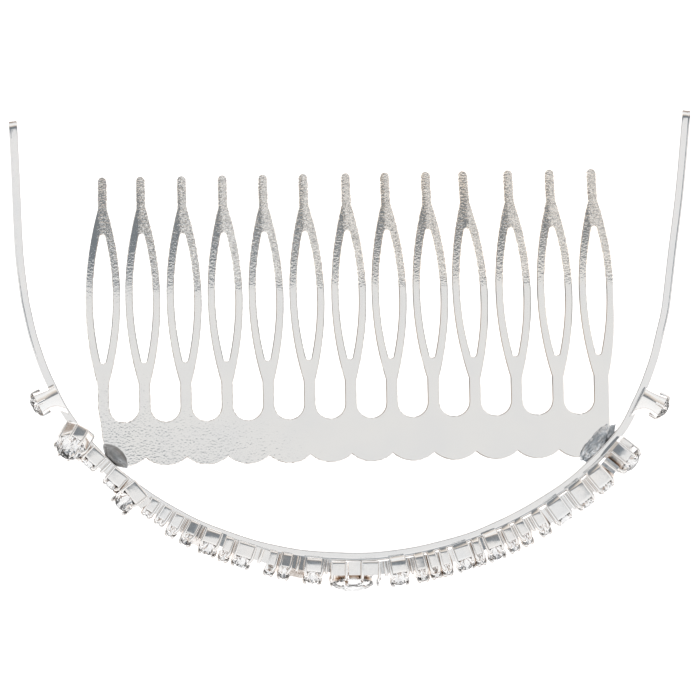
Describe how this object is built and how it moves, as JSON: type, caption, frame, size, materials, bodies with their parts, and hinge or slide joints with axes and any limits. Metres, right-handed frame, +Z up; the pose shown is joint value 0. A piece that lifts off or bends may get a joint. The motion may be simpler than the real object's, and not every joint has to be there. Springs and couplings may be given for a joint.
{
  "type": "tiara comb",
  "caption": "Hair comb with leaf-shaped slotted teeth inside a curved metal band that carries a row of claw-set rhinestones along its front edge.",
  "frame": {"origin": "the middle of the comb's spine, on its underside", "axes": "+X runs along the comb and the band, towards the right-hand side as worn from behind; +Y is the way the teeth point; +Z is up, out of the hair, towards the stones"},
  "size_m": [0.1026, 0.0719, 0.0099],
  "materials": {
    "comb_metal": "silver-plated sheet, polished with a fine orange-peel",
    "band_metal": "silver-plated strip, polished, with rolled edges",
    "setting_metal": "silver-plated castings, polished, tarnished in the corners",
    "solder": "dull tin solder, lumpy",
    "crystal": "clear faceted rhinestone with a foil back"
  },
  "bodies": {
    "root": {"comb": "comb_metal", "band": "band_metal", "centre_setting": "setting_metal", "centre_stone": "crystal", "solder_joint_left": "solder", "solder_joint_right": "solder", "end_setting_left": "setting_metal", "end_setting_right": "setting_metal", "end_stone_left": "crystal", "end_stone_right": "crystal", "setting_left_1": "setting_metal", "setting_left_2": "setting_metal", "setting_left_3": "setting_metal", "setting_left_4": "setting_metal", "setting_left_5": "setting_metal", "setting_left_6": "setting_metal", "setting_left_7": "setting_metal", "setting_left_8": "setting_metal", "setting_left_9": "setting_metal", "setting_left_10": "setting_metal", "setting_left_11": "setting_metal", "setting_left_12": "setting_metal", "setting_left_13": "setting_metal", "setting_left_14": "setting_metal", "setting_right_1": "setting_metal", "setting_right_2": "setting_metal", "setting_right_3": "setting_metal", "setting_right_4": "setting_metal", "setting_right_5": "setting_metal", "setting_right_6": "setting_metal", "setting_right_7": "setting_metal", "setting_right_8": "setting_metal", "setting_right_9": "setting_metal", "setting_right_10": "setting_metal", "setting_right_11": "setting_metal", "setting_right_12": "setting_metal", "setting_right_13": "setting_metal", "setting_right_14": "setting_metal", "stone_left_1": "crystal", "stone_left_4": "crystal", "stone_left_6": "crystal", "stone_left_11": "crystal", "stone_left_12": "crystal", "stone_left_13": "crystal", "stone_left_14": "crystal", "stone_right_1": "crystal", "stone_right_5": "crystal", "stone_right_7": "crystal", "stone_right_11": "crystal", "stone_right_12": "crystal", "stone_right_13": "crystal", "stone_right_14": "crystal", "small_stones_left": "crystal", "small_stones_right": "crystal"}
  },
  "joints": []
}
